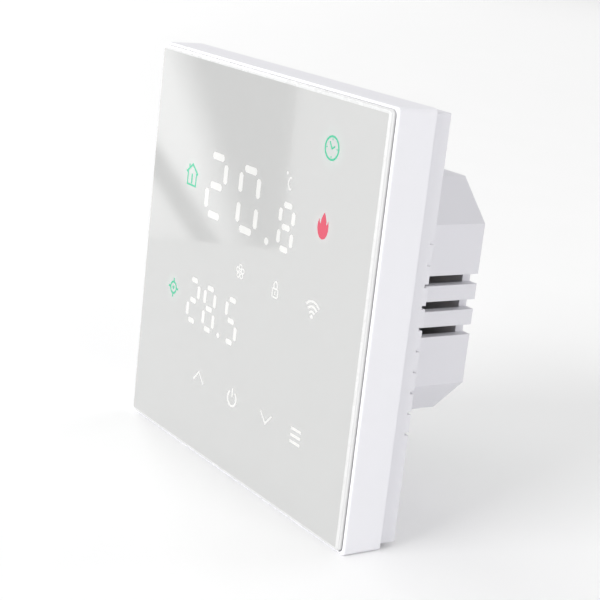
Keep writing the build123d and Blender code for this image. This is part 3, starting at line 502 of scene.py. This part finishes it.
def label_paper():
    """Satin silver-white label film with a faint fibre."""
    n = Nodes("label_film")
    fibre = n.noise(1800.0, 3.0, 0.7, n.stretched((1.0, 1.0, 4.0)))
    shade = n.span(fibre, 0.3, 0.7, 0.0, 1.0)
    n.use("Base Color", n.mix(shade, (0.60, 0.61, 0.62), (0.66, 0.67, 0.68)))
    n.use("Roughness", n.span(fibre, 0.3, 0.7, 0.32, 0.44))
    n.use("Metallic", 0.25)
    n.use("Normal", n.bump(fibre, 0.1, 0.00003))
    return n.material


def printed_ink():
    """Matt dark ink, thinner in places so that it isn't one flat black."""
    n = Nodes("printed_ink")
    wear = n.noise(1500.0, 3.0, 0.7)
    thin = n.span(wear, 0.35, 0.7, 0.0, 1.0)
    n.use("Base Color", n.mix(thin, (0.05, 0.052, 0.06), (0.13, 0.13, 0.14)))
    n.use("Roughness", n.span(wear, 0.3, 0.7, 0.5, 0.7))
    return n.material


# ---------------------------------------------------------------- materials
WARM_WHITE = (1.0, 1.0, 0.98)
GREEN = (0.065, 0.610, 0.352)
RED = (0.79, 0.06, 0.127)

MINT = (0.25, 1.0, 0.7)
PINK = (1.0, 0.55, 0.6)

# x, z, inner and outer radius and colour of the light round each coloured mark
GLOWS = [
    (*CLOCK, 1.8, 5.6, MINT),
    (*HOUSE, 1.6, 4.8, MINT),
    (*TARGET, 1.4, 4.2, MINT),
    (*FLAME, 1.2, 4.6, PINK),
]
GLOW = 0.035

GLASS_PRINT = printed_glass()
GLASS_EDGE = painted_reflection_edge()
LIT_WHITE = lit("lit_white", WARM_WHITE, 0.93)
LIT_GREEN = lit("lit_green", GREEN, 1.0)
LIT_RED = lit("lit_red", RED, 1.0)

HOUSING_WHITE = (0.825, 0.822, 0.858)
BASE_WHITE = (0.750, 0.745, 0.784)

by_slot = {
    "front_glass": GLASS_PRINT,
    "tape": ceramic("foam_tape", (0.05, 0.05, 0.052), (0.02, 0.02, 0.02), 0.8, 1800.0),
    "white_housing": moulded("white_housing", HOUSING_WHITE, 0.42, 0.16, 0.015, 0.08),
    "white_base": moulded("white_base", BASE_WHITE, 0.5, 0.22, 0.02, 0.06),
    "mask": moulded("black_mask", (0.02, 0.02, 0.021), 0.55, 0.25, 0.2),
    "film": moulded("diffuser_film", (0.78, 0.79, 0.78), 0.35, 0.05, 0.03, 0.02),
    "board": circuit_board(),
    "led": moulded("led_lens", (0.82, 0.80, 0.62), 0.25, 0.05, 0.1, 0.03),
    "steel": metal("spring_steel", (0.62, 0.61, 0.59), 0.3, (1.0, 6.0, 1.0)),
    "chip": moulded("chip_epoxy", (0.022, 0.022, 0.024), 0.6, 0.3, 0.25, 0.05),
    "black_plastic": moulded("black_nylon", (0.025, 0.025, 0.027), 0.45, 0.2, 0.2, 0.08),
    "sensor": ceramic("sensor_bead", (0.06, 0.035, 0.02), (0.02, 0.015, 0.01), 0.3, 1500.0),
    "gold": metal("gold_plate", (0.83, 0.62, 0.26), 0.22, (1.0, 8.0, 1.0)),
    "relay": moulded("relay_case", (0.022, 0.075, 0.24), 0.38, 0.18, 0.12, 0.25),
    "ferrite": ceramic("ferrite", (0.045, 0.045, 0.048), (0.02, 0.02, 0.022), 0.55),
    "bobbin": moulded("bobbin", (0.10, 0.085, 0.07), 0.4, 0.2, 0.15, 0.08),
    "winding": wound_wire(),
    "capacitor": sleeve(
        "capacitor_sleeve", (0.018, 0.02, 0.035), (0.45, 0.46, 0.47), (0.72, 0.73, 0.74)
    ),
    "film_capacitor": moulded("film_capacitor", (0.52, 0.40, 0.07), 0.35, 0.15, 0.1, 0.25),
    "varistor": ceramic("varistor_dip", (0.04, 0.13, 0.28), (0.03, 0.09, 0.2), 0.3, 600.0),
    "resistor": banded(
        "resistor", (0.42, 0.30, 0.18), [(0.08, 0.02, 0.01), (0.01, 0.01, 0.01), (0.6, 0.42, 0.05)]
    ),
    "terminal": moulded("terminal_nylon", (0.05, 0.21, 0.09), 0.42, 0.2, 0.12, 0.12),
    "brass": metal("tinned_brass", (0.72, 0.62, 0.42), 0.3, (1.0, 6.0, 1.0)),
    "zinc_screw": metal("zinc_screw", (0.66, 0.66, 0.64), 0.28, (1.0, 8.0, 1.0)),
}

slot_of = {row["node"]: row["material_slot"] for row in frame["record"]["subparts"]}
for node, thing in frame["nodes"].items():
    thing.data.materials.clear()
    thing.data.materials.append(by_slot[slot_of[node]])

# ---------------------------------------------------------------- the front glass


def glass_pane():
    """The pane: polished front, edges rounded over, sides with painted reflections, printed back.
    """
    bm = bmesh.new()
    levels = []
    for step in range(9):
        a = math.radians(90 * step / 8)
        inset = GLASS_ROUND * (1 - math.sin(a))
        levels.append((inset, GLASS_FRONT + GLASS_ROUND * (1 - math.cos(a))))
    levels += [(0.0, GLASS_BACK - GLASS_BEVEL), (GLASS_BEVEL, GLASS_BACK)]
    loops = []
    for inset, y in levels:
        width, height = GLASS_WIDTH - 2 * inset, GLASS_HEIGHT - 2 * inset
        outline = rounded_box(0.0, GLASS_RISE, width, height, GLASS_CORNER - inset)
        loops.append([bm.verts.new((x * MM, y * MM, z * MM)) for x, z in outline])
    bm.faces.new(loops[0])
    bm.faces.new(list(reversed(loops[-1])))
    for near, far in zip(loops, loops[1:]):
        for i in range(len(near)):
            j = (i + 1) % len(near)
            side = bm.faces.new((near[i], near[j], far[j], far[i]))
            side.material_index = 1
            side.smooth = True
    return new_object("glass_pane", bm, [GLASS_PRINT, GLASS_EDGE])


pane = glass_pane()
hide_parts("front_glass")
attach(pane, "display_unit")

# ---------------------------------------------------------------- lit marks


def lit_piece(name, draw, material):
    """One lit mark, drawn by a function that fills a bmesh, riding on the display unit."""
    bm = bmesh.new()
    draw(bm)
    piece = new_object(name, bm, [material])
    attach(piece, "display_unit")
    return piece


def plate(bm, outline):
    prism(bm, outline, LIT_FRONT, LIT_BACK)


def stroke(bm, points, width, closed=False):
    ribbon(bm, points, width, LIT_FRONT, LIT_BACK, closed)


def segment(bm, x1, z1, x2, z2, width):
    """One bar of a digit, with its two ends cut to blunt points."""
    along = Vector((x2 - x1, z2 - z1)).normalized()
    across = Vector((-along.y, along.x)) * width / 2
    start, end = Vector((x1, z1)), Vector((x2, z2))
    cut = along * width * 0.3
    blunt = across * 0.45
    plate(bm, [
        tuple(p)
        for p in (
            start + blunt, start + cut + across, end - cut + across, end + blunt,
            end - blunt, end - cut - across, start + cut - across, start - blunt,
        )
    ])


def digit(bm, x, z, height, width, line, number):
    """A seven-segment digit with a gap at each corner."""
    right, left = x + width / 2 - line / 2, x - width / 2 + line / 2
    top, bottom = z + height / 2 - line / 2, z - height / 2 + line / 2
    gap = line * 0.75
    bars = {
        "a": (left + gap, top, right - gap, top),
        "g": (left + gap, z, right - gap, z),
        "d": (left + gap, bottom, right - gap, bottom),
        "f": (left, z + gap, left, top - gap),
        "b": (right, z + gap, right, top - gap),
        "e": (left, bottom + gap, left, z - gap),
        "c": (right, bottom + gap, right, z - gap),
    }
    for letter in SEGMENTS[number]:
        segment(bm, *bars[letter], line)


def reading(bm, digits, point):
    for values in digits:
        digit(bm, *values)
    x, z, size = point
    plate(bm, ring(x, z, size / 2, 16))


def ticks(bm, x, z, inner, outer, width):
    """Four short strokes that point away from the middle."""
    for angle in (0, 90, 180, 270):
        a = math.radians(angle)
        tick = [(x + r * math.cos(a), z + r * math.sin(a)) for r in (inner, outer)]
        stroke(bm, tick, width)


def clock(bm):
    x, z = CLOCK
    stroke(bm, ring(x, z, 2.2), 0.42, closed=True)
    stroke(bm, [(x - 0.85, z + 1.15), (x, z - 0.1), (x + 0.95, z + 0.45)], 0.36)
    ticks(bm, x, z, 1.5, 1.85, 0.26)


def house(bm):
    x, z = HOUSE
    stroke(bm, [(x - 2.4, z + 0.35), (x, z + 2.3), (x + 2.4, z + 0.35)], 0.5)
    walls = [(x - 1.75, z + 0.55), (x - 1.75, z - 2.2), (x + 1.75, z - 2.2), (x + 1.75, z + 0.55)]
    stroke(bm, walls, 0.42)
    stroke(bm, [(x, z - 1.9), (x, z + 0.25)], 0.5)
    stroke(bm, [(x - 1.35, z + 1.5), (x - 1.35, z + 2.2)], 0.45)


def flame(bm):
    x, z = FLAME
    outer = [
        (0.1, 2.75), (0.55, 2.0), (0.95, 1.15), (1.0, 0.35), (1.35, 0.75), (1.55, 1.35),
        (1.75, 0.5), (1.8, -0.5), (1.5, -1.5), (0.9, -2.25), (0.0, -2.55), (-0.9, -2.25),
        (-1.5, -1.5), (-1.8, -0.5), (-1.75, 0.4), (-1.45, 1.3), (-1.2, 0.6), (-0.9, 0.35),
        (-0.75, 1.3), (-0.35, 2.1),
    ]
    plate(bm, [(x + dx, z + dz) for dx, dz in outer])


def target(bm):
    """A small aiming mark: a ring round a dot, with four short ticks."""
    x, z = TARGET
    stroke(bm, ring(x, z, 1.25, 28), 0.42, closed=True)
    plate(bm, ring(x, z, 0.42, 12))
    ticks(bm, x, z, 1.3, 2.15, 0.42)


def fan(bm):
    x, z = FAN
    for turn in range(5):
        a = math.radians(90 + 72 * turn)
        cx, cz = x + 1.0 * math.cos(a), z + 1.0 * math.sin(a)
        stroke(bm, ring(cx, cz, 0.5, 14), 0.24, closed=True)
    plate(bm, ring(x, z, 0.26, 10))


def padlock(bm):
    x, z = PADLOCK
    stroke(bm, rounded_box(x, z - 0.75, 2.0, 1.75, 0.35), 0.3, closed=True)
    bow = [(x - 0.6, z + 0.25)] + arc(x, z + 0.95, 0.6, 180, 0, 10) + [(x + 0.6, z + 0.25)]
    stroke(bm, bow, 0.28)
    stroke(bm, [(x, z - 1.1), (x, z - 0.4)], 0.3)


def signal(bm):
    x, z = SIGNAL
    for radius in (1.15, 2.15, 3.15):
        stroke(bm, arc(x, z - 1.6, radius, 45, 135, 12), 0.42)
    plate(bm, ring(x, z - 1.45, 0.42, 14))


def degree(bm):
    x, z = DEGREE
    plate(bm, ring(x, z, 0.32, 12))
    stroke(bm, arc(x + 1.4, z - 1.5, 0.75, 62, 118, 5) + [(x + 0.65, z - 1.6), (x + 0.65, z - 2.2)]
           + arc(x + 1.4, z - 2.3, 0.75, 242, 298, 5), 0.34)


def chevron(bm, x, rise):
    """A wide V, pointing up where rise is positive and down where it is negative."""
    stroke(bm, [(x - 2.1, KEY_Z - rise), (x, KEY_Z + rise), (x + 2.1, KEY_Z - rise)], 0.36)


def key_power(bm):
    x = KEY_POWER_X
    stroke(bm, arc(x, KEY_Z - 0.2, 1.65, 125, 415, 30), 0.42)
    stroke(bm, [(x, KEY_Z + 0.1), (x, KEY_Z + 2.0)], 0.42)


def key_menu(bm):
    x = KEY_MENU_X
    for dz in (-1.35, 0.0, 1.35):
        stroke(bm, [(x - 1.75, KEY_Z + dz), (x + 1.75, KEY_Z + dz)], 0.55)


for name, draw, material in (
    ("lit_room_reading", lambda bm: reading(bm, BIG_DIGITS, BIG_POINT), LIT_WHITE),
    ("lit_set_reading", lambda bm: reading(bm, SMALL_DIGITS, SMALL_POINT), LIT_WHITE),
    ("lit_degree", degree, LIT_WHITE),
    ("lit_clock", clock, LIT_GREEN),
    ("lit_house", house, LIT_GREEN),
    ("lit_target", target, LIT_GREEN),
    ("lit_flame", flame, LIT_RED),
    ("lit_fan", fan, LIT_WHITE),
    ("lit_padlock", padlock, LIT_WHITE),
    ("lit_signal", signal, LIT_WHITE),
    ("lit_key_up", lambda bm: chevron(bm, KEY_UP_X, 1.1), LIT_WHITE),
    ("lit_key_power", key_power, LIT_WHITE),
    ("lit_key_down", lambda bm: chevron(bm, KEY_DOWN_X, -1.1), LIT_WHITE),
    ("lit_key_menu", key_menu, LIT_WHITE),
):
    lit_piece(name, draw, material)

# ---------------------------------------------------------------- rating plate and print
# strokes of the figures, 1 wide and 2 high, as they read from behind
FIGURES = {
    1: [[(0.25, 1.6), (0.55, 2.0), (0.55, 0.0)]],
    2: [[(0.0, 1.7), (0.25, 2.0), (0.8, 2.0), (1.0, 1.7), (1.0, 1.25), (0.0, 0.0), (1.0, 0.0)]],
    3: [[(0.0, 2.0), (1.0, 2.0), (0.5, 1.2), (1.0, 0.85), (1.0, 0.3), (0.7, 0.0), (0.0, 0.0)]],
    4: [[(0.75, 0.0), (0.75, 2.0), (0.0, 0.6), (1.0, 0.6)]],
    5: [[
        (1.0, 2.0), (0.1, 2.0), (0.0, 1.1), (0.75, 1.1),
        (1.0, 0.8), (1.0, 0.3), (0.7, 0.0), (0.0, 0.0),
    ]],
    6: [[
        (0.85, 2.0), (0.2, 1.2), (0.0, 0.6), (0.2, 0.0),
        (0.8, 0.0), (1.0, 0.5), (0.8, 1.0), (0.1, 1.0),
    ]],
}


def rear_label(bm):
    outline = rounded_box(LABEL_X, LABEL_Z, 33.4, 23.4, 1.3)
    prism(bm, outline, LABEL_FRONT, LABEL_BACK)


def label_print(bm):
    """A frame and a plain circuit: supply, switch and load, with no lettering."""
    lines = [
        (rounded_box(LABEL_X, LABEL_Z, 30.6, 20.6, 1.0), True),
        (ring(9.5, 10.0, 2.0), True),
        ([(10.7, 9.7), (10.1, 10.5), (9.5, 10.0), (8.9, 9.5), (8.3, 10.3)], False),
        ([(7.5, 10.0), (3.2, 10.0)], False),
        ([(3.2, 10.0), (0.4, 11.7)], False),
        ([(0.0, 10.0), (-6.6, 10.0)], False),
        (rounded_box(-9.2, 10.0, 5.2, 2.2, 0.2), True),
        ([(-11.8, 10.0), (-13.0, 10.0), (-13.0, 4.0), (9.5, 4.0), (9.5, 8.0)], False),
        (rounded_box(-10.5, -0.4, 3.4, 3.4, 0.1), True),
        (rounded_box(-10.5, -0.4, 1.7, 1.7, 0.1), True),
    ]
    for points, closed in lines:
        ribbon(bm, points, LABEL_LINE, LABEL_BACK, LABEL_BACK + INK, closed)


def terminal_numbers(bm):
    """The figures 1 to 6 on the rear wall, one over each terminal."""
    for number, strokes in FIGURES.items():
        middle = (number - 3.5) * TERMINAL_PITCH
        for points in strokes:
            turned = [(middle + 0.5 - dx, NUMBER_Z - 1.0 + dz) for dx, dz in points]
            ribbon(bm, turned, NUMBER_LINE, REAR_WALL, REAR_WALL + INK)


PRINT_INK = printed_ink()
for name, draw, material, slot in (
    ("rear_label", rear_label, label_paper(), "film"),
    ("label_print", label_print, PRINT_INK, "mask"),
    ("terminal_numbers", terminal_numbers, PRINT_INK, "mask"),
):
    bm = bmesh.new()
    draw(bm)
    piece = new_object(name, bm, [material])
    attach(piece, "base")

# ---------------------------------------------------------------- floor, light and camera


def floor():
    """A plain pale floor, with the faintest unevenness, under the thermostat."""
    bm = bmesh.new()
    reach = FLOOR_REACH * MM
    z = (FLOOR_Z - FLOOR_DROP) * MM
    corners = [(-reach, -reach), (reach, -reach), (reach, reach), (-reach, reach)]
    bm.faces.new([bm.verts.new((x, y, z)) for x, y in corners])
    n = Nodes("floor_white")
    n.use("Base Color", n.mix(n.noise(3.0, 2.0), (0.955, 0.955, 0.955), (0.965, 0.965, 0.965)))
    n.use("Roughness", n.span(n.noise(30.0, 2.0), 0.3, 0.7, 0.55, 0.6))
    n.use("Specular IOR Level", 0.3)
    ground = new_object("floor", bm, [n.material])


def area_light(name, place, power):
    """A square lamp aimed at the origin."""
    data = bpy.data.lights.new(name, "AREA")
    data.shape = "SQUARE"
    data.size = LAMP_SIDE
    data.energy = power
    lamp = bpy.data.objects.new(name, data)
    bpy.context.scene.collection.objects.link(lamp)
    lamp.location = place
    lamp.rotation_mode = "QUATERNION"
    lamp.rotation_quaternion = (-Vector(place)).to_track_quat("-Z", "Y")


def sky(strength):
    world = bpy.data.worlds.new("studio")
    world.use_nodes = True
    background = world.node_tree.nodes["Background"]
    background.inputs["Color"].default_value = (1.0, 1.0, 1.0, 1.0)
    background.inputs["Strength"].default_value = strength
    bpy.context.scene.world = world


def reflected_card():
    """A softly fading white card, seen only in reflections, low to the front left."""
    along = Vector((0.5, -0.866, 0.0))
    across = Vector((0.866, 0.5, 0.0))
    middle = Vector(CARD_PLACE) * MM
    (left, right), (bottom, top) = CARD_U, CARD_V
    bm = bmesh.new()
    corners = [(left, bottom), (right, bottom), (right, top), (left, top)]
    bm.faces.new([bm.verts.new((u * MM, 0.0, v * MM)) for u, v in corners])
    n = Nodes("card_glow")
    n.tree.nodes.remove(n.bsdf)
    u, v = n.axis("X"), n.axis("Z")

    def off_line(from_u, from_v, shift):
        """Distance from a slanting line across the card, with a sign."""
        slant = n.maths("ADD", n.maths("MULTIPLY", u, from_u), n.maths("MULTIPLY", v, from_v))
        return n.maths("ADD", slant, shift * MM)

    fade = n.span(off_line(0.92, 0.39, 5.06), -6.0 * MM, 5.0 * MM, 1.0, 0.0)
    off_streak = n.maths("ABSOLUTE", off_line(0.797, 0.604, 25.89))
    streak = n.span(off_streak, 2.0 * MM, 5.5 * MM, 0.0, 1.0)
    low = n.span(v, bottom * MM, -10.0 * MM, 0.7, 1.0)
    far = n.span(u, left * MM, -60.0 * MM, 0.0, 1.0)
    high = n.span(v, 40.0 * MM, top * MM, 1.0, 0.0)
    strength = CARD_GLOW
    for factor in (fade, streak, low, far, high):
        strength = n.maths("MULTIPLY", factor, strength)
    glow = n.add("ShaderNodeEmission")
    n.link(strength, glow, "Strength")
    n.join(glow, "Emission", n.output, "Surface")
    card = new_object("reflected_card", bm, [n.material])
    turn = Matrix((along, across, (0.0, 0.0, 1.0))).transposed().to_4x4()
    card.matrix_world = Matrix.Translation(middle) @ turn
    card.visible_camera = False
    card.visible_diffuse = False
    card.visible_shadow = False


def camera():
    """Aims the camera at its target and turns it about the line of sight."""
    place = Vector(CAMERA_PLACE) * MM
    target = Vector(CAMERA_TARGET) * MM
    tilt = math.radians(CAMERA_TILT)
    ahead = (target - place).normalized()
    level = ahead.cross(Vector((0.0, 0.0, 1.0))).normalized()
    upright = level.cross(ahead)
    right = level * math.cos(tilt) + upright * math.sin(tilt)
    up = upright * math.cos(tilt) - level * math.sin(tilt)
    data = bpy.data.cameras.new("camera")
    data.lens = CAMERA_LENS
    data.sensor_width = SENSOR_WIDTH
    data.clip_start = 0.01
    data.clip_end = 50.0
    viewer = bpy.data.objects.new("camera", data)
    bpy.context.scene.collection.objects.link(viewer)
    turn = Matrix((right, up, -ahead)).transposed().to_4x4()
    viewer.matrix_world = Matrix.Translation(place) @ turn
    bpy.context.scene.camera = viewer


floor()
sky(SKY)
for name, place, power in LAMPS:
    area_light(name, place, power)
reflected_card()
camera()
bpy.context.scene.view_settings.view_transform = "Standard"
